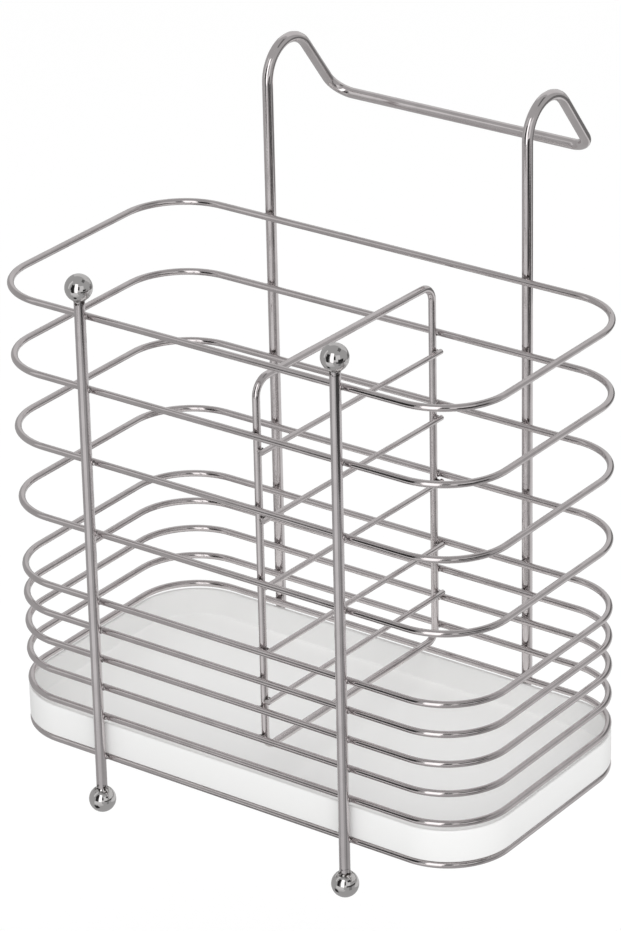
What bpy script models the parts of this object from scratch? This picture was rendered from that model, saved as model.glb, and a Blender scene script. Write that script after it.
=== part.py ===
"""Hanging basket of chrome wire for cutlery and utensils, with a divider and a slide-in drip tray.

Metres, +Z up, +Y towards the rail, X along the basket. The origin is where the rail's top
touches the two hooks: midway between them, under the middle of their crowns.
"""

import math

import bmesh
import bpy
from mathutils import Quaternion, Vector

# Clearance between wires that are welded together, and round the loose tray
weld_gap = 0.0003

# Ten equal rings, measured along the centre line of their wire
ring_wire = 0.0025
basket_length = 0.2055
basket_depth = 0.1080
ring_corner_radius = 0.0245
basket_side_shift = 0.0018
wide_pitch = 0.0280
wide_pitch_count = 3
changing_pitch = 0.0272
narrow_pitch = 0.0116
narrow_pitch_count = 3
floor_pitch = 0.0120
tray_pitch = 0.0164

# Two front posts with a ball on each end
post_wire = 0.0040
post_spacing = 0.1088
post_offset = -0.0013
ball_diameter = 0.0100
bare_post_over_rim = 0.0056
bare_post_under_base = 0.0101
socket_depth_share = 0.30
socket_clearance = 0.0003

# Hanger: legs, hooks and cross bar in one wire
hanger_wire = 0.0040
leg_spacing = 0.1122
leg_tail = 0.0039
hook_radius = 0.0132
hook_height_over_rim = 0.0641
hook_reach = 0.0417
bar_drop = 0.0286
bar_bend_radius = 0.0080

# Divider: a closed loop, a little askew from front to back, with thinner bars across its right side
divider_wire = 0.0028
divider_offset = 0.0164
divider_skew = 0.0030
divider_drop_under_rim = 0.0086
divider_rise_over_floor_ring = 0.0071
divider_front_radius = 0.0062
divider_back_radius = 0.0060
divider_foot_radius = 0.0050
divider_bar_wire = 0.0020
divider_bar_height_shares = (0.137, 0.2744, 0.4554, 0.6349, 0.8183)

# Drip tray between the two lowest rings
tray_wall = 0.0015
tray_floor = 0.0015
tray_headroom = 0.0011
tray_overhang_share = 0.90

# Facets of a quarter turn of a bent wire, round a wire, and of a ball
bend_steps = 6
wire_round_steps = 2
ball_steps = 8
ball_sides = 16
full_turn = 2 * math.pi
smooth_angle = math.radians(40)

chrome_colour = (0.62, 0.61, 0.60)
chrome_roughness = 0.10
tray_colour = (0.92, 0.92, 0.91)
tray_roughness = 0.35

# Places that follow from the sizes
ring_radius = ring_wire / 2
post_radius = post_wire / 2
hanger_radius = hanger_wire / 2
divider_radius = divider_wire / 2
bar_radius = divider_bar_wire / 2
ball_radius = ball_diameter / 2

crown_z = hanger_radius
leg_y = -hook_radius
basket_back = leg_y - hanger_radius - weld_gap - ring_radius
basket_front = basket_back - basket_depth
basket_centre = Vector((basket_side_shift, (basket_back + basket_front) / 2, 0))
post_y = basket_front - ring_radius - weld_gap - post_radius

rim_z = crown_z - hook_height_over_rim
pitches = ([wide_pitch] * wide_pitch_count + [changing_pitch] + [narrow_pitch] * narrow_pitch_count
           + [floor_pitch, tray_pitch])
ring_heights = [rim_z - sum(pitches[:index]) for index in range(len(pitches) + 1)]
floor_ring_z = ring_heights[-2]
base_ring_z = ring_heights[-1]


def arc_between(before, corner, after, radius):
    """Points of the arc that rounds a corner, tangent to both of its sides."""
    inward = (before - corner).normalized()
    outward = (after - corner).normalized()
    half_angle = inward.angle(outward) / 2
    turn = math.pi - 2 * half_angle
    centre = corner + (inward + outward).normalized() * radius / math.sin(half_angle)
    start = corner + inward * radius / math.tan(half_angle) - centre
    axis = inward.cross(outward)
    steps = max(2, math.ceil(bend_steps * turn / (math.pi / 2)))
    points = []
    for step in range(steps + 1):
        points.append(centre + Quaternion(axis, -turn * step / steps) @ start)
    return points


def bent_path(corners, radii, closed=False):
    """Path of a bent wire: straight runs between corners, each corner rounded to its radius."""
    points = []
    count = len(corners)
    for index, corner in enumerate(corners):
        is_end = not closed and index in (0, count - 1)
        if is_end:
            points.append(corner)
        else:
            before = corners[index - 1]
            after = corners[(index + 1) % count]
            points.extend(arc_between(before, corner, after, radii[index]))
    return points


def add_finish(target, name, colour, roughness, metallic):
    """Plain finish of one piece."""
    material = bpy.data.materials.new(name + "_finish")
    material.use_nodes = True
    shader = material.node_tree.nodes["Principled BSDF"]
    shader.inputs["Base Color"].default_value = (*colour, 1)
    shader.inputs["Roughness"].default_value = roughness
    shader.inputs["Metallic"].default_value = metallic
    target.data.materials.append(material)


def add_wire(name, points, diameter, closed=False):
    """Round chrome wire along a path, with flat sawn ends where it isn't closed."""
    curve = bpy.data.curves.new(name, "CURVE")
    curve.dimensions = "3D"
    curve.bevel_depth = diameter / 2
    curve.bevel_resolution = wire_round_steps
    curve.use_fill_caps = not closed
    spline = curve.splines.new("POLY")
    spline.points.add(len(points) - 1)
    for point, place in zip(spline.points, points):
        point.co = (*place, 1)
    spline.use_cyclic_u = closed
    wire = bpy.data.objects.new(name, curve)
    bpy.context.collection.objects.link(wire)
    add_finish(wire, name, chrome_colour, chrome_roughness, 1)
    return wire


def add_mesh_piece(name, shape, location, colour, roughness, metallic):
    """Turn a finished bmesh into a smooth-shaded object at its place."""
    mesh = bpy.data.meshes.new(name)
    bmesh.ops.recalc_face_normals(shape, faces=shape.faces)
    shape.to_mesh(mesh)
    shape.free()
    mesh.shade_smooth()
    mesh.set_sharp_from_angle(angle=smooth_angle)
    piece = bpy.data.objects.new(name, mesh)
    piece.location = location
    bpy.context.collection.objects.link(piece)
    add_finish(piece, name, colour, roughness, metallic)
    return piece


def rounded_outline(length, depth, radius):
    """Level rounded rectangle about the origin, anticlockwise from above."""
    corners = [Vector((side_x * length / 2, side_y * depth / 2, 0))
               for side_x, side_y in ((1, -1), (1, 1), (-1, 1), (-1, -1))]
    return bent_path(corners, [radius] * len(corners), closed=True)


def build_rings():
    """Ten equal rings, wide apart above and close together below."""
    outline = rounded_outline(basket_length, basket_depth, ring_corner_radius)
    for index, height in enumerate(ring_heights):
        place = basket_centre + Vector((0, 0, height))
        name = f"ring_{index + 1:02d}"
        add_wire(name, [place + point for point in outline], ring_wire, closed=True)


def ball_shape(socket_radius, socket_depth):
    """Ball with a blind socket in its underside, where its post goes in."""
    shape = bmesh.new()
    mouth_angle = math.asin(socket_radius / ball_radius)
    mouth_z = -ball_radius * math.cos(mouth_angle)
    socket_end = mouth_z + socket_depth
    profile = [Vector((0, 0, socket_end)), Vector((socket_radius, 0, socket_end))]
    for step in range(ball_steps + 1):
        angle = mouth_angle + (math.pi - mouth_angle) * step / ball_steps
        profile.append(Vector((ball_radius * math.sin(angle), 0, -ball_radius * math.cos(angle))))
    profile[-1].x = 0
    verts = [shape.verts.new(point) for point in profile]
    edges = [shape.edges.new(pair) for pair in zip(verts, verts[1:])]
    bmesh.ops.spin(shape, geom=verts + edges, cent=(0, 0, 0), axis=(0, 0, 1), angle=full_turn,
                   steps=ball_sides, use_merge=True)
    bmesh.ops.remove_doubles(shape, verts=shape.verts, dist=socket_clearance / 2)
    return shape


def build_posts():
    """Straight front posts outside the rings, each pressed into a ball at both ends."""
    socket_radius = post_radius + socket_clearance
    socket_depth = ball_diameter * socket_depth_share
    mouth = math.sqrt(ball_radius ** 2 - socket_radius ** 2)
    seat = Vector((0, 0, mouth - socket_depth + socket_clearance))
    top = rim_z + ring_radius + bare_post_over_rim + ball_radius
    bottom = base_ring_z - ring_radius - bare_post_under_base - ball_radius
    for side, name in ((-1, "left"), (1, "right")):
        x = basket_centre.x + post_offset + side * post_spacing / 2
        foot = Vector((x, post_y, bottom))
        head = Vector((x, post_y, top))
        add_wire(f"{name}_front_post", [foot + seat, head - seat], post_wire)
        add_mesh_piece(f"{name}_top_ball", ball_shape(socket_radius, socket_depth), head,
                       chrome_colour, chrome_roughness, 1)
        lower = add_mesh_piece(f"{name}_bottom_ball", ball_shape(socket_radius, socket_depth), foot,
                               chrome_colour, chrome_roughness, 1)
        lower.rotation_euler = (math.pi, 0, 0)


def build_hanger():
    """One wire: up the left leg, over the hook, along the bar and down again on the right."""
    bar_y = leg_y + hook_reach
    bar_z = crown_z - bar_drop
    across = hook_reach - hook_radius
    down = bar_drop - hook_radius
    slope_length = math.sqrt(across ** 2 + down ** 2 - hook_radius ** 2)
    slope_angle = math.atan2(slope_length, hook_radius) - math.atan2(down, across)
    peak_z = bar_z + hook_reach / math.tan(slope_angle)
    foot_z = floor_ring_z - leg_tail
    corners = []
    for side, order in ((-1, 1), (1, -1)):
        x = side * leg_spacing / 2
        leg = [Vector((x, leg_y, foot_z)), Vector((x, leg_y, peak_z)), Vector((x, bar_y, bar_z))]
        corners.extend(leg[::order])
    radii = [0, hook_radius, bar_bend_radius, bar_bend_radius, hook_radius, 0]
    add_wire("hanger_frame", bent_path(corners, radii), hanger_wire)


def build_divider():
    """Upright loop from front to back inside the rings, and level bars on its right side."""
    x = basket_centre.x + divider_offset
    front = basket_front + ring_radius + weld_gap + divider_radius
    back = basket_back - ring_radius - weld_gap - divider_radius
    top = rim_z - divider_drop_under_rim
    bottom = floor_ring_z + divider_rise_over_floor_ring
    front_x = x - divider_skew / 2
    back_x = x + divider_skew / 2
    corners = [Vector((front_x, front, bottom)), Vector((back_x, back, bottom)),
               Vector((back_x, back, top)), Vector((front_x, front, top))]
    radii = [divider_foot_radius, divider_foot_radius, divider_back_radius, divider_front_radius]
    add_wire("divider_frame", bent_path(corners, radii, closed=True), divider_wire, closed=True)
    to_bar = Vector((divider_radius + weld_gap + bar_radius, 0, 0))
    along = (corners[1] - corners[0]).normalized() * divider_radius
    for index, share in enumerate(divider_bar_height_shares):
        up = Vector((0, 0, (top - bottom) * share))
        ends = [corners[0] + up + to_bar - along, corners[1] + up + to_bar + along]
        add_wire(f"divider_bar_{index + 1}", ends, divider_bar_wire)


def build_tray():
    """Shallow open tray that slides in from either end, between the two lowest rings."""
    overhang = ring_radius * tray_overhang_share
    height = tray_pitch - ring_wire - weld_gap - tray_headroom
    outline = rounded_outline(basket_length + 2 * overhang, basket_depth + 2 * overhang,
                              ring_corner_radius + overhang)
    shape = bmesh.new()
    base = shape.faces.new([shape.verts.new(point) for point in outline])
    raised = bmesh.ops.extrude_face_region(shape, geom=[base])["geom"]
    bmesh.ops.translate(shape, vec=(0, 0, height),
                        verts=[item for item in raised if isinstance(item, bmesh.types.BMVert)])
    rim = [item for item in raised if isinstance(item, bmesh.types.BMFace)]
    bmesh.ops.recalc_face_normals(shape, faces=shape.faces)
    bmesh.ops.inset_region(shape, faces=rim, thickness=tray_wall, use_even_offset=True)
    sunk = bmesh.ops.extrude_face_region(shape, geom=rim)["geom"]
    bmesh.ops.translate(shape, vec=(0, 0, tray_floor - height),
                        verts=[item for item in sunk if isinstance(item, bmesh.types.BMVert)])
    bmesh.ops.delete(shape, geom=rim, context="FACES_ONLY")
    place = basket_centre + Vector((0, 0, base_ring_z + ring_radius + weld_gap))
    add_mesh_piece("drip_tray", shape, place, tray_colour, tray_roughness, 0)


for leftover in list(bpy.data.objects):
    bpy.data.objects.remove(leftover)
build_rings()
build_posts()
build_hanger()
build_divider()
build_tray()
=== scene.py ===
import math

import bmesh
import bpy
from mathutils import Matrix, Quaternion, Vector, noise


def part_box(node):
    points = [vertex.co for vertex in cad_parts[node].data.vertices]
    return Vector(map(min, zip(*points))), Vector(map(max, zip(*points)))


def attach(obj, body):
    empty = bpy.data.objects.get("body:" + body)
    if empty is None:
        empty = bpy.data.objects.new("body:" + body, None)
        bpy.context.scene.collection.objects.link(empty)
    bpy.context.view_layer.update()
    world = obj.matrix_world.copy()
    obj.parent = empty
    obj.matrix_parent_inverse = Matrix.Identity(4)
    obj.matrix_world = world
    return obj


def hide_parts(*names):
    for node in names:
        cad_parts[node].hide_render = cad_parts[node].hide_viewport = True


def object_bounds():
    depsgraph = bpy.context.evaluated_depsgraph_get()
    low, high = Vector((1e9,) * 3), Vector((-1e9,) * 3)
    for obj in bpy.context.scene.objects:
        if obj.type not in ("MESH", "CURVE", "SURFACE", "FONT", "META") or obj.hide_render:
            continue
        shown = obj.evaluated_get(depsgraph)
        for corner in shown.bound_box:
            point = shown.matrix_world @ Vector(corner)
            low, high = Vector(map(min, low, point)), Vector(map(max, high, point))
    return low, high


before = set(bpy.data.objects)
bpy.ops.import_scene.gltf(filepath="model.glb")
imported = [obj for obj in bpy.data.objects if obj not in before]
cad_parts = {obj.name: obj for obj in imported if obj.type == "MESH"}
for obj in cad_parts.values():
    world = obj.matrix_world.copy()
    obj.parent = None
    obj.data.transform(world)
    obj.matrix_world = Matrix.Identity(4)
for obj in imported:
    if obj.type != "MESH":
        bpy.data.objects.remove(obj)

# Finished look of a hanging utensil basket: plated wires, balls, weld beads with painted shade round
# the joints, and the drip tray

cad_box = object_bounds()

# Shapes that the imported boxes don't give
ring_corner_radius = 0.0245
hook_radius = 0.0132
hook_reach = 0.0417
bar_drop = 0.0286
bar_bend_radius = 0.0080
divider_skew = 0.0030
divider_back_radius = 0.0060
divider_front_radius = 0.0062
divider_foot_radius = 0.0050
tray_wall = 0.0015
tray_floor = 0.0015
tray_corner_radius = 0.025625

# Fineness of the finished meshes, and their small edges and angles
bend_steps = 30
fewest_bend_steps = 4
wire_round_steps = 6
run_step = 0.0011
ball_segments = 64
ball_rows = 40
collar_segments = 48
end_chamfer = 0.00035
tray_edge_rounding = 0.0006
tray_edge_angle = math.radians(60)
sharp_angle = math.radians(50)

# Weld nuggets: half sizes along the thinner wire, across it and through both
ring_weld_half_sizes = (0.0018, 0.0010, 0.0008)
bar_weld_half_sizes = (0.0015, 0.0011, 0.0009)
lump_fineness = 1.3
lump_strength = 0.20
lump_steps = (3.7, 1.3, 2.1)
ring_seed_step = 7
first_bar_seed = 90
bar_seed_step = 5

# Painted shade at the joints: how far it reaches, and where it lies on the legs and round a post's
# ends
joint_shade_reach = 0.0030
leg_shade_reach = 0.0017
leg_shade_side_share = 0.6
leg_shade_front_share = 0.8
leg_shade_lift = 0.0017
shade_turns = (-1.5, -0.2, 1.1, 2.6)
post_shade_gap = 0.0006

# Collar of a ball: its radii over the post's radius, its length and its lift off the ball
collar_seat_ratio = 1.3
collar_wide_ratio = 1.36
collar_narrow_ratio = 1.10
collar_length = 0.0009
collar_lift = 0.0001

# Surfaces; the near-black colour is painted shade for the crevices where wires meet and at the balls'
# mouths
joint_shade_colour = (0.07, 0.06, 0.055)
relief_depth = 0.0001

ring_names = [f"ring_{number:02d}" for number in range(1, 11)]
bar_names = [f"divider_bar_{number}" for number in range(1, 6)]


# Paths and wires

def arc_between(before, corner, after, radius):
    """Points of the arc that rounds a corner, tangent to both of its sides."""
    inward = (before - corner).normalized()
    outward = (after - corner).normalized()
    half_angle = inward.angle(outward) / 2
    turn = math.pi - 2 * half_angle
    centre = corner + (inward + outward).normalized() * radius / math.sin(half_angle)
    start = corner + inward * radius / math.tan(half_angle) - centre
    axis = inward.cross(outward)
    steps = max(fewest_bend_steps, math.ceil(bend_steps * turn / (math.pi / 2)))
    return [centre + Quaternion(axis, -turn * step / steps) @ start for step in range(steps + 1)]


def bent_path(corners, radii, closed=False):
    """Path of a bent wire: straight runs between corners, each corner rounded to its radius."""
    points = []
    count = len(corners)
    for index, corner in enumerate(corners):
        if not closed and index in (0, count - 1):
            points.append(corner)
        else:
            points.extend(arc_between(corners[index - 1], corner, corners[(index + 1) % count],
                                      radii[index]))
    return points


def divided(points, closed, longest):
    """The same path with its long straight runs cut into shorter ones."""
    ends = list(zip(points, points[1:] + points[:1]))
    if not closed:
        ends.pop()
    result = []
    for first, second in ends:
        pieces = max(1, math.ceil((second - first).length / longest))
        result.extend(first.lerp(second, piece / pieces) for piece in range(pieces))
    if not closed:
        result.append(points[-1])
    return result


def wire_shape(points, radius, closed=False):
    """Round wire along a path, as a bmesh; open ends are filed to a small chamfer."""
    points = divided(points, closed, run_step)
    curve = bpy.data.curves.new("wire", "CURVE")
    curve.dimensions = "3D"
    curve.bevel_depth = radius
    curve.bevel_resolution = wire_round_steps
    curve.use_fill_caps = not closed
    spline = curve.splines.new("POLY")
    spline.points.add(len(points) - 1)
    for point, place in zip(spline.points, points):
        point.co = (*place, 1)
    spline.use_cyclic_u = closed
    carrier = bpy.data.objects.new("wire", curve)
    bpy.context.collection.objects.link(carrier)
    bpy.context.view_layer.update()
    mesh = carrier.evaluated_get(bpy.context.evaluated_depsgraph_get()).to_mesh()
    shape = bmesh.new()
    shape.from_mesh(mesh)
    bpy.data.objects.remove(carrier)
    bpy.data.curves.remove(curve)
    bmesh.ops.remove_doubles(shape, verts=shape.verts, dist=radius / 1000)
    # Only the flat ends have more than four corners
    caps = [face for face in shape.faces if len(face.verts) > 4]
    rims = list({edge for face in caps for edge in face.edges})
    if rims:
        bmesh.ops.bevel(shape, geom=rims, offset=end_chamfer, offset_type="OFFSET", segments=3,
                        profile=0.5, affect="EDGES", material=-1)
    bmesh.ops.recalc_face_normals(shape, faces=shape.faces)
    return shape


def add_nugget(shape, place, along, outward, half_sizes, seed):
    """Squashed bead of weld metal, a little lumpy, merged into the piece that carries it."""
    across = outward.cross(along)
    turn = Matrix((along, across, outward)).transposed().to_4x4()
    size = Matrix.Diagonal((*half_sizes, 1))
    shift = Vector([seed * step for step in lump_steps])
    made = bmesh.ops.create_icosphere(shape, subdivisions=3, radius=1)["verts"]
    for vert in made:
        lump = noise.noise(vert.co * lump_fineness + shift)
        vert.co *= 1 + lump_strength * lump
    bmesh.ops.transform(shape, matrix=Matrix.Translation(place) @ turn @ size, verts=made)


def finished_piece(name, shape, body, replaced, material, shade_places=(),
                   shade_reach=joint_shade_reach):
    """Object at the origin from a finished shape, with painted shade marked round each given place."""
    mesh = bpy.data.meshes.new(name)
    shape.to_mesh(mesh)
    shape.free()
    mesh.shade_smooth()
    mesh.set_sharp_from_angle(angle=sharp_angle)
    # Share of painted joint shade at each point, fading with the distance to the nearest given place
    shade_marks = mesh.attributes.new("painted_joint_shade", "FLOAT", "POINT")
    for vert in mesh.vertices:
        near = min(((vert.co - place).length for place in shade_places), default=shade_reach)
        shade_marks.data[vert.index].value = max(0.0, 1 - near / shade_reach)
    mesh.materials.append(material)
    piece = bpy.data.objects.new(name, mesh)
    bpy.context.collection.objects.link(piece)
    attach(piece, body)
    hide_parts(*replaced)


# Materials

def plating_group():
    """Bright plating on drawn wire: faint clouding, slow waves, fine grain and near-black painted
    shade at the joints.
    """
    cloud_roughness = 0.15
    joint_shade_roughness = 0.25
    grain_height = 0.06
    group = bpy.data.node_groups.new("plating", "ShaderNodeTree")
    for name, kind in (("Bright", "NodeSocketColor"), ("Clouded", "NodeSocketColor"),
                       ("Joint shade", "NodeSocketColor"), ("Roughness", "NodeSocketFloat"),
                       ("Clouding", "NodeSocketFloat"), ("Waves", "NodeSocketFloat")):
        group.interface.new_socket(name, in_out="INPUT", socket_type=kind)
    for name, kind in (("Colour", "NodeSocketColor"), ("Roughness", "NodeSocketFloat"),
                       ("Height", "NodeSocketFloat")):
        group.interface.new_socket(name, in_out="OUTPUT", socket_type=kind)
    nodes = group.nodes
    links = group.links
    given = nodes.new("NodeGroupInput")
    made = nodes.new("NodeGroupOutput")
    place = nodes.new("ShaderNodeTexCoord")

    def speckle(scale, detail):
        pattern = nodes.new("ShaderNodeTexNoise")
        pattern.inputs["Scale"].default_value = scale
        pattern.inputs["Detail"].default_value = detail
        links.new(place.outputs["Object"], pattern.inputs["Vector"])
        return pattern.outputs["Fac"]

    def spread(value, low, high):
        ramp = nodes.new("ShaderNodeMapRange")
        ramp.interpolation_type = "SMOOTHSTEP"
        ramp.inputs["From Min"].default_value = low
        ramp.inputs["From Max"].default_value = high
        links.new(value, ramp.inputs["Value"])
        return ramp.outputs["Result"]

    def calculated(operation, *values):
        node = nodes.new("ShaderNodeMath")
        node.operation = operation
        for socket, value in zip(node.inputs, values):
            if isinstance(value, float):
                socket.default_value = value
            else:
                links.new(value, socket)
        return node.outputs["Value"]

    def mixed(factor, first, second):
        node = nodes.new("ShaderNodeMix")
        node.data_type = "RGBA"
        links.new(factor, node.inputs["Factor"])
        links.new(first, node.inputs["A"])
        links.new(second, node.inputs["B"])
        return node.outputs["Result"]

    shade_marks = nodes.new("ShaderNodeAttribute")
    shade_marks.attribute_name = "painted_joint_shade"
    clouds = calculated("MULTIPLY", spread(speckle(scale=140, detail=3), low=0.35, high=0.75),
                        given.outputs["Clouding"])
    # Near-black blotches of painted shade where the wires meet
    painted_shade = calculated("MULTIPLY", spread(shade_marks.outputs["Fac"], low=0.28, high=0.70),
                       spread(speckle(scale=950, detail=1), low=0.47, high=0.56))
    plated = mixed(clouds, given.outputs["Bright"], given.outputs["Clouded"])
    links.new(mixed(painted_shade, plated, given.outputs["Joint shade"]), made.inputs["Colour"])
    worn = calculated("MULTIPLY_ADD", clouds, cloud_roughness, given.outputs["Roughness"])
    links.new(calculated("MULTIPLY_ADD", painted_shade, joint_shade_roughness, worn), made.inputs["Roughness"])
    waves = calculated("MULTIPLY", speckle(scale=75, detail=1), given.outputs["Waves"])
    grain = speckle(scale=1500, detail=2)
    links.new(calculated("MULTIPLY_ADD", grain, grain_height, waves), made.inputs["Height"])
    return group


def plated_material(name, group, bright, clouded, roughness, clouding, waves):
    """Bright plating, mirror-like, with the shared group's clouding, waves and painted shade at the
    joints.
    """
    material = bpy.data.materials.new(name)
    material.use_nodes = True
    nodes = material.node_tree.nodes
    links = material.node_tree.links
    shader = nodes["Principled BSDF"]
    shader.inputs["Metallic"].default_value = 1
    surface = nodes.new("ShaderNodeGroup")
    surface.node_tree = group
    surface.inputs["Bright"].default_value = (*bright, 1)
    surface.inputs["Clouded"].default_value = (*clouded, 1)
    surface.inputs["Joint shade"].default_value = (*joint_shade_colour, 1)
    surface.inputs["Roughness"].default_value = roughness
    surface.inputs["Clouding"].default_value = clouding
    surface.inputs["Waves"].default_value = waves
    links.new(surface.outputs["Colour"], shader.inputs["Base Color"])
    links.new(surface.outputs["Roughness"], shader.inputs["Roughness"])
    relief = nodes.new("ShaderNodeBump")
    relief.inputs["Strength"].default_value = 1
    relief.inputs["Distance"].default_value = relief_depth
    links.new(surface.outputs["Height"], relief.inputs["Height"])
    links.new(relief.outputs["Normal"], shader.inputs["Normal"])
    return material


def tray_material():
    """White moulded plastic with a soft sheen, faint clouding and a very fine grain."""
    material = bpy.data.materials.new("tray_plastic_white")
    material.use_nodes = True
    nodes = material.node_tree.nodes
    links = material.node_tree.links
    shader = nodes["Principled BSDF"]
    place = nodes.new("ShaderNodeTexCoord")
    clouds = nodes.new("ShaderNodeTexNoise")
    clouds.inputs["Scale"].default_value = 28
    clouds.inputs["Detail"].default_value = 4
    links.new(place.outputs["Object"], clouds.inputs["Vector"])
    colour = nodes.new("ShaderNodeMix")
    colour.data_type = "RGBA"
    colour.inputs["A"].default_value = (0.95, 0.95, 0.945, 1)
    colour.inputs["B"].default_value = (0.93, 0.93, 0.92, 1)
    links.new(clouds.outputs["Fac"], colour.inputs["Factor"])
    links.new(colour.outputs["Result"], shader.inputs["Base Color"])
    sheen = nodes.new("ShaderNodeMapRange")
    sheen.inputs["To Min"].default_value = 0.32
    sheen.inputs["To Max"].default_value = 0.44
    links.new(clouds.outputs["Fac"], sheen.inputs["Value"])
    links.new(sheen.outputs["Result"], shader.inputs["Roughness"])
    grain = nodes.new("ShaderNodeTexNoise")
    grain.inputs["Scale"].default_value = 2200
    links.new(place.outputs["Object"], grain.inputs["Vector"])
    relief = nodes.new("ShaderNodeBump")
    relief.inputs["Strength"].default_value = 0.12
    relief.inputs["Distance"].default_value = relief_depth
    links.new(grain.outputs["Fac"], relief.inputs["Height"])
    links.new(relief.outputs["Normal"], shader.inputs["Normal"])
    return material


plating = plating_group()
ring_chrome = plated_material("ring_chrome_bright", plating, bright=(0.64, 0.600, 0.602),
                              clouded=(0.48, 0.450, 0.450), roughness=0.09, clouding=0.35, waves=0.9)
post_chrome = plated_material("post_chrome_bright", plating, bright=(0.64, 0.605, 0.610),
                              clouded=(0.49, 0.460, 0.462), roughness=0.08, clouding=0.30, waves=0.6)
ball_chrome = plated_material("ball_chrome_bright", plating, bright=(0.64, 0.625, 0.62),
                              clouded=(0.52, 0.51, 0.50), roughness=0.05, clouding=0.20, waves=0.3)
# Painted light: the hanger's plating is lighter than the same plating on the rings, standing in for
# the extra light on its legs
hanger_chrome = plated_material("hanger_chrome_painted_lighter", plating, bright=(0.70, 0.660, 0.662),
                                clouded=(0.54, 0.505, 0.505), roughness=0.09, clouding=0.35,
                                waves=0.4)
divider_chrome = plated_material("divider_chrome_bright", plating, bright=(0.69, 0.650, 0.652),
                                 clouded=(0.52, 0.490, 0.490), roughness=0.10, clouding=0.35,
                                 waves=0.9)
tray_plastic = tray_material()


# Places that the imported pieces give

def middle(name):
    """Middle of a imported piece's box."""
    low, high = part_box(name)
    return (low + high) / 2


def wire_radius(name):
    """Radius of a packed wire that lies level."""
    low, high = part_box(name)
    return (high.z - low.z) / 2


ring_radius = wire_radius(ring_names[0])
post_low, post_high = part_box("left_front_post")
post_radius = (post_high.x - post_low.x) / 2
post_xs = [middle("left_front_post").x, middle("right_front_post").x]
hanger_low, hanger_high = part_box("hanger_frame")
hanger_radius = post_radius
leg_xs = [hanger_low.x + hanger_radius, hanger_high.x - hanger_radius]
leg_y = hanger_low.y + hanger_radius
divider_low, divider_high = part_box("divider_frame")
divider_radius = (divider_high.x - divider_low.x - divider_skew) / 2
divider_front_x = divider_low.x + divider_radius
divider_back_x = divider_high.x - divider_radius
bar_radius = wire_radius(bar_names[0])
ring_low, ring_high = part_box(ring_names[0])
rim_front = ring_low.y + ring_radius
rim_back = ring_high.y - ring_radius


def ring_welds(name):
    """Where a ring touches the posts, the legs and the divider, with the way out of each weld."""
    height = middle(name).z
    front = Vector((0, -1, 0))
    back = Vector((0, 1, 0))
    welds = [(Vector((x, rim_front - ring_radius, height)), front) for x in post_xs]
    if height - ring_radius > hanger_low.z:
        welds += [(Vector((x, rim_back + ring_radius, height)), back) for x in leg_xs]
    if divider_low.z + divider_foot_radius < height < divider_high.z - divider_front_radius:
        welds.append((Vector((divider_front_x, rim_front + ring_radius, height)), back))
        welds.append((Vector((divider_back_x, rim_back - ring_radius, height)), front))
    return welds


def make_ring(name, number):
    """Closed ring of wire, with a nugget where it is welded to each wire that it touches."""
    low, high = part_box(name)
    height = (low.z + high.z) / 2
    inset = Vector((ring_radius, ring_radius, 0))
    start = low + inset
    end = high - inset
    corners = [Vector((end.x, start.y, height)), Vector((end.x, end.y, height)),
               Vector((start.x, end.y, height)), Vector((start.x, start.y, height))]
    path = bent_path(corners, [ring_corner_radius] * 4, closed=True)
    shape = wire_shape(path, ring_radius, closed=True)
    welds = ring_welds(name)
    for index, (place, outward) in enumerate(welds):
        add_nugget(shape, place, Vector((1, 0, 0)), outward, ring_weld_half_sizes,
                   number * ring_seed_step + index)
    # Painted shade round each weld of the ring
    finished_piece(name + "_wire", shape, "basket", [name], ring_chrome,
                   [place for place, outward in welds])


def make_post(name):
    """Straight post, with a little painted shade at each ring and at the mouth of each ball."""
    low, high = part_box(name)
    centre = (low + high) / 2
    path = [Vector((centre.x, centre.y, low.z)), Vector((centre.x, centre.y, high.z))]
    welds = [Vector((centre.x, centre.y + post_radius, middle(ring).z)) for ring in ring_names]
    # Painted shade round the post where it enters each ball
    for ball, side in ((name.replace("front_post", "top_ball"), -1),
                       (name.replace("front_post", "bottom_ball"), 1)):
        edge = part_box(ball)[0].z if side < 0 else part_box(ball)[1].z
        welds += [Vector((centre.x + post_radius * math.sin(turn),
                          centre.y - post_radius * math.cos(turn),
                          edge + side * post_shade_gap)) for turn in shade_turns]
    finished_piece(name + "_wire", wire_shape(path, post_radius), "basket", [name],
                   post_chrome, welds)


def make_ball(name):
    """Polished ball with the small rounded collar where it was pressed onto its post."""
    low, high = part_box(name)
    centre = (low + high) / 2
    radius = (high.x - low.x) / 2
    is_top = "top" in name
    centre.z = high.z - radius if is_top else low.z + radius
    post_side = -1 if is_top else 1
    shape = bmesh.new()
    bmesh.ops.create_uvsphere(shape, u_segments=ball_segments, v_segments=ball_rows, radius=radius)
    collar_height = math.sqrt(radius ** 2 - (post_radius * collar_seat_ratio) ** 2)
    collar = bmesh.ops.create_cone(shape, cap_ends=True, segments=collar_segments,
                                   radius1=post_radius * collar_wide_ratio,
                                   radius2=post_radius * collar_narrow_ratio, depth=collar_length)
    turned = Matrix.Rotation(0 if post_side > 0 else math.pi, 4, "X")
    seated = Matrix.Translation((0, 0, post_side * (collar_height + collar_lift)))
    bmesh.ops.transform(shape, verts=collar["verts"], matrix=seated @ turned)
    bmesh.ops.translate(shape, verts=shape.verts, vec=centre)
    # Painted shade round the mouth where the post enters the ball
    painted_shade = [centre + Vector((post_radius * math.sin(turn), -post_radius * math.cos(turn),
                              post_side * collar_height)) for turn in shade_turns]
    finished_piece(name + "_polished", shape, "basket", [name], ball_chrome, painted_shade)


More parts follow.
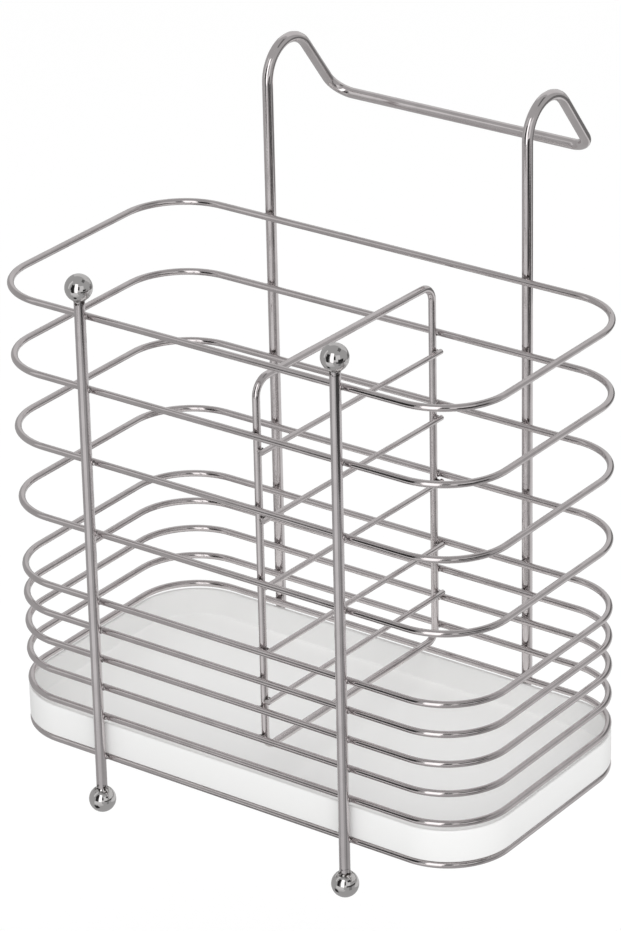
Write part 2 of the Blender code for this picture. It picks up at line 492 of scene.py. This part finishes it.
def make_hanger():
    """One wire: up the left leg, over the hook, along the bar and down again on the right."""
    crown_z = hanger_radius
    bar_y = leg_y + hook_reach
    bar_z = crown_z - bar_drop
    across = hook_reach - hook_radius
    down = bar_drop - hook_radius
    slope_length = math.sqrt(across ** 2 + down ** 2 - hook_radius ** 2)
    slope_angle = math.atan2(slope_length, hook_radius) - math.atan2(down, across)
    peak_z = bar_z + hook_reach / math.tan(slope_angle)
    corners = []
    for x, order in zip(leg_xs, (1, -1)):
        corners += [Vector((x, leg_y, hanger_low.z)), Vector((x, leg_y, peak_z)),
                    Vector((x, bar_y, bar_z))][::order]
    radii = [0, hook_radius, bar_bend_radius, bar_bend_radius, hook_radius, 0]
    # Painted shade on the front of each leg, just above each ring that it meets
    welds = [Vector((x + side * hanger_radius * leg_shade_side_share,
                     leg_y - hanger_radius * leg_shade_front_share,
                     middle(ring).z + leg_shade_lift))
             for x in leg_xs for ring in ring_names[:-1] for side in (-1, 1)]
    finished_piece("hanger_wire", wire_shape(bent_path(corners, radii), hanger_radius), "basket",
                   ["hanger_frame"], hanger_chrome, welds, leg_shade_reach)


def make_divider():
    """Closed loop between the compartments, then the thinner bars with a weld at each end."""
    front = divider_low.y + divider_radius
    back = divider_high.y - divider_radius
    bottom = divider_low.z + divider_radius
    top = divider_high.z - divider_radius
    corners = [Vector((divider_front_x, front, bottom)), Vector((divider_back_x, back, bottom)),
               Vector((divider_back_x, back, top)), Vector((divider_front_x, front, top))]
    radii = [divider_foot_radius, divider_foot_radius, divider_back_radius, divider_front_radius]
    touches = [Vector((divider_front_x + divider_radius, front, 0)),
               Vector((divider_back_x + divider_radius, back, 0))]
    # Painted shade round the bars' welds and where the rings meet the loop
    bar_welds = [touch + Vector((0, 0, middle(bar).z)) for bar in bar_names for touch in touches]
    ring_places = [place for ring in ring_names for place, outward in ring_welds(ring)
                   if divider_low.x < place.x < divider_high.x]
    finished_piece("divider_wire", wire_shape(bent_path(corners, radii, True), divider_radius, True),
                   "basket", ["divider_frame"], divider_chrome,
                   bar_welds + ring_places)
    for number, bar in enumerate(bar_names):
        low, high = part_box(bar)
        centre = (low + high) / 2
        ends = [Vector((low.x + bar_radius, low.y, centre.z)),
                Vector((high.x - bar_radius, high.y, centre.z))]
        shape = wire_shape(ends, bar_radius)
        # Painted shade round the weld at each end of the bar
        welds = [touch + Vector((0, 0, centre.z)) for touch in touches]
        for index, place in enumerate(welds):
            add_nugget(shape, place, Vector((0, 1, 0)), Vector((1, 0, 0)), bar_weld_half_sizes,
                       first_bar_seed + number * bar_seed_step + index)
        finished_piece(bar + "_wire", shape, "basket", [bar], divider_chrome, welds)


def make_tray():
    """Shallow moulded tray with rounded edges."""
    low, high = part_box("drip_tray")
    corners = [Vector((high.x, low.y, low.z)), Vector((high.x, high.y, low.z)),
               Vector((low.x, high.y, low.z)), Vector((low.x, low.y, low.z))]
    outline = bent_path(corners, [tray_corner_radius] * 4, closed=True)
    height = high.z - low.z
    shape = bmesh.new()
    base = shape.faces.new([shape.verts.new(point) for point in outline])
    raised = bmesh.ops.extrude_face_region(shape, geom=[base])["geom"]
    bmesh.ops.translate(shape, vec=(0, 0, height),
                        verts=[item for item in raised if isinstance(item, bmesh.types.BMVert)])
    rim = [item for item in raised if isinstance(item, bmesh.types.BMFace)]
    bmesh.ops.recalc_face_normals(shape, faces=shape.faces)
    bmesh.ops.inset_region(shape, faces=rim, thickness=tray_wall, use_even_offset=True)
    sunk = bmesh.ops.extrude_face_region(shape, geom=rim)["geom"]
    bmesh.ops.translate(shape, vec=(0, 0, tray_floor - height),
                        verts=[item for item in sunk if isinstance(item, bmesh.types.BMVert)])
    bmesh.ops.delete(shape, geom=rim, context="FACES_ONLY")
    bmesh.ops.recalc_face_normals(shape, faces=shape.faces)
    sharp = [edge for edge in shape.edges
             if len(edge.link_faces) == 2 and edge.calc_face_angle(0) > tray_edge_angle]
    bmesh.ops.bevel(shape, geom=sharp, offset=tray_edge_rounding, offset_type="OFFSET", segments=4,
                    profile=0.5, affect="EDGES", material=-1)
    finished_piece("drip_tray_moulded", shape, "tray", ["drip_tray"], tray_plastic)


for number, ring_name in enumerate(ring_names):
    make_ring(ring_name, number)
for post_name in ("left_front_post", "right_front_post"):
    make_post(post_name)
for ball_name in ("left_top_ball", "left_bottom_ball", "right_top_ball", "right_bottom_ball"):
    make_ball(ball_name)
make_hanger()
make_divider()
make_tray()


# Camera, at the photograph's place

camera_place = Vector((0.8292, -1.1965, 0.5326))
camera_azimuth = math.radians(36.322)
camera_elevation = math.radians(25.257)
camera_roll = math.radians(-1.306)
back_of_camera = Vector((math.sin(camera_azimuth) * math.cos(camera_elevation),
                         -math.cos(camera_azimuth) * math.cos(camera_elevation),
                         math.sin(camera_elevation)))
lens_data = bpy.data.cameras.new("photo_camera")
lens_data.lens = 167.70
lens_data.sensor_width = 36
lens_data.clip_end = 100
camera = bpy.data.objects.new("photo_camera", lens_data)
camera.location = camera_place
camera.rotation_euler = (back_of_camera.to_track_quat("Z", "Y")
                         @ Quaternion((0, 0, 1), camera_roll)).to_euler()
bpy.context.collection.objects.link(camera)
bpy.context.scene.camera = camera
bpy.context.scene.view_settings.view_transform = "Standard"


# Studio

object_middle = (cad_box[0] + cad_box[1]) / 2
floor_drop = 0.30
floor_z = cad_box[0].z - floor_drop
floor_half_width = 30
floor_grey = 0.80
floor_glow = 0.225
ambient_level = 0.66
overhead_level = 0.30
overhead_softness = math.radians(70)
tent_level = 0.47
tent_radius = 2.6
tent_floor_gap = 0.02


def direction(azimuth, elevation):
    """Way from the object: azimuth in degrees from its front towards its right, and elevation."""
    turn, lift = math.radians(azimuth), math.radians(elevation)
    return Vector((math.sin(turn) * math.cos(lift), -math.cos(turn) * math.cos(lift), math.sin(lift)))


def seen_as_background(nodes, links):
    """1 for what the camera, a reflection or a view through glass sees, and 0 for lit surfaces."""
    path = nodes.new("ShaderNodeLightPath")
    first = nodes.new("ShaderNodeMath")
    first.operation = "MAXIMUM"
    second = nodes.new("ShaderNodeMath")
    second.operation = "MAXIMUM"
    links.new(path.outputs["Is Camera Ray"], first.inputs[0])
    links.new(path.outputs["Is Glossy Ray"], first.inputs[1])
    links.new(first.outputs["Value"], second.inputs[0])
    links.new(path.outputs["Is Transmission Ray"], second.inputs[1])
    return second.outputs["Value"]


def make_world():
    """Soft light from all round, and plain white where the background is seen."""
    world = bpy.data.worlds.new("studio")
    bpy.context.scene.world = world
    world.use_nodes = True
    nodes = world.node_tree.nodes
    links = world.node_tree.links
    light = nodes["Background"]
    light.inputs["Color"].default_value = (1, 1, 1, 1)
    light.inputs["Strength"].default_value = ambient_level
    seen = nodes.new("ShaderNodeBackground")
    seen.inputs["Color"].default_value = (1, 1, 1, 1)
    seen.inputs["Strength"].default_value = 1
    mixed = nodes.new("ShaderNodeMixShader")
    links.new(seen_as_background(nodes, links), mixed.inputs["Fac"])
    links.new(light.outputs["Background"], mixed.inputs[1])
    links.new(seen.outputs["Background"], mixed.inputs[2])
    links.new(mixed.outputs["Shader"], nodes["World Output"].inputs["Surface"])


def make_floor():
    """Pale floor: its own glow lifts it to white in the picture, and the shadow stays on it."""
    shape = bmesh.new()
    bmesh.ops.create_grid(shape, x_segments=1, y_segments=1, size=floor_half_width)
    mesh = bpy.data.meshes.new("floor")
    shape.to_mesh(mesh)
    shape.free()
    floor = bpy.data.objects.new("floor", mesh)
    floor.location = (0, 0, floor_z)
    bpy.context.collection.objects.link(floor)
    material = bpy.data.materials.new("pale_floor")
    material.use_nodes = True
    nodes = material.node_tree.nodes
    links = material.node_tree.links
    shader = nodes["Principled BSDF"]
    shader.inputs["Base Color"].default_value = (floor_grey, floor_grey, floor_grey, 1)
    shader.inputs["Roughness"].default_value = 0.9
    shader.inputs["Specular IOR Level"].default_value = 0
    shader.inputs["Emission Color"].default_value = (1, 1, 1, 1)
    glow = nodes.new("ShaderNodeMath")
    glow.operation = "MULTIPLY"
    glow.inputs[1].default_value = floor_glow
    links.new(seen_as_background(nodes, links), glow.inputs[0])
    links.new(glow.outputs["Value"], shader.inputs["Emission Strength"])
    mesh.materials.append(material)


def add_overhead_light():
    """Very soft light from above that reaches the floor evenly."""
    data = bpy.data.lights.new("overhead_light", "SUN")
    data.energy = overhead_level * math.pi
    data.angle = overhead_softness
    lamp = bpy.data.objects.new("overhead_light", data)
    lamp.rotation_euler = direction(azimuth=30, elevation=72).to_track_quat("Z", "Y").to_euler()
    lamp.visible_glossy = False
    bpy.context.collection.objects.link(lamp)


def add_softbox(name, azimuth, elevation, distance, size, radiance):
    """Area lamp that looks at the object's middle and lights surfaces; only the cards are mirrored."""
    data = bpy.data.lights.new(name, "AREA")
    data.shape = "RECTANGLE"
    data.size, data.size_y = size
    data.energy = radiance * math.pi * size[0] * size[1]
    lamp = bpy.data.objects.new(name, data)
    way = direction(azimuth, elevation)
    lamp.location = object_middle + way * distance
    lamp.rotation_euler = way.to_track_quat("Z", "Y").to_euler()
    lamp.visible_glossy = False
    bpy.context.collection.objects.link(lamp)


def add_reflection_only(name, mesh, radiance):
    """Stage piece of a plain grey that only reflections show, as the cards round bright metal do."""
    material = bpy.data.materials.new(name)
    material.use_nodes = True
    material.cycles.emission_sampling = "NONE"
    nodes = material.node_tree.nodes
    nodes.remove(nodes["Principled BSDF"])
    glow = nodes.new("ShaderNodeEmission")
    glow.inputs["Color"].default_value = (1, 1, 1, 1)
    glow.inputs["Strength"].default_value = radiance
    material.node_tree.links.new(glow.outputs["Emission"], nodes["Material Output"].inputs["Surface"])
    mesh.materials.append(material)
    card = bpy.data.objects.new(name, mesh)
    card.visible_camera = False
    card.visible_diffuse = False
    card.visible_transmission = False
    card.visible_volume_scatter = False
    card.visible_shadow = False
    bpy.context.collection.objects.link(card)
    return card


def add_card(name, azimuth, elevation, distance, size, radiance):
    """Flat card that faces the object's middle."""
    shape = bmesh.new()
    bmesh.ops.create_grid(shape, x_segments=1, y_segments=1, size=0.5)
    bmesh.ops.scale(shape, vec=(size[0], size[1], 1), verts=shape.verts)
    mesh = bpy.data.meshes.new(name)
    shape.to_mesh(mesh)
    shape.free()
    card = add_reflection_only(name, mesh, radiance)
    way = direction(azimuth, elevation)
    card.location = object_middle + way * distance
    card.rotation_euler = way.to_track_quat("Z", "Y").to_euler()


def add_tent():
    """Grey tent round the whole stage, with a flat bottom just over the floor."""
    shape = bmesh.new()
    bmesh.ops.create_uvsphere(shape, u_segments=48, v_segments=24, radius=tent_radius)
    bmesh.ops.translate(shape, verts=shape.verts, vec=object_middle)
    for vert in shape.verts:
        vert.co.z = max(vert.co.z, floor_z + tent_floor_gap)
    mesh = bpy.data.meshes.new("grey_tent")
    shape.to_mesh(mesh)
    shape.free()
    add_reflection_only("grey_tent", mesh, tent_level)


make_world()
make_floor()
add_tent()
add_overhead_light()

# Each lamp or card is given its azimuth and elevation in degrees, its distance from the object's
# middle, its width and height in metres, and its brightness. The bright ones come first, then the
# dark flags that draw the lines on the wires, then the low ones that the wires' undersides mirror.
add_softbox("front_fill", 45, 30, 1.80, (1.2, 1.2), 1.45)
add_card("front_softbox", 15, 18, 1.15, (0.50, 1.50), 1.80)
add_card("right_softbox", 52, 14, 1.30, (1.20, 1.05), 0.82)
add_card("back_card", -165, 30, 1.60, (2.40, 1.60), 0.70)
add_card("back_run_card", -45.5, 28, 0.586, (0.12, 0.50), 0.80)
add_card("left_flag", -14.2, 12.1, 0.60, (0.24, 0.59), 0.03)
add_card("left_low_flag", -27.3, 11.7, 0.60, (0.045, 0.155), 0.05)
add_card("camera_flag", 36.0, 18.0, 1.10, (0.23, 0.54), 0.04)
add_card("side_flag", 69, 9, 0.275, (0.16, 0.08), 0.03)
add_card("right_top_flag", 80, -14.5, 0.50, (0.70, 0.098), 0.07)
add_card("high_right_flag", 120, 60, 1.40, (0.70, 0.46), 0.16)
add_card("hook_flag", 155, 3, 0.301, (0.24, 0.13), 0.20)
add_card("low_front_flag", -28.0, -51.0, 0.420, (0.15, 0.12), 0.04)
add_card("front_low_card", -4, -25.3, 0.70, (0.70, 0.30), 0.80)
add_card("right_low_flag", 72, -27, 0.60, (0.20, 0.26), 0.28)
add_card("front_floor_card", 4, -44, 0.58, (0.50, 0.22), 0.66)
add_card("back_floor_card", 160, -38, 0.62, (1.30, 0.50), 0.75)
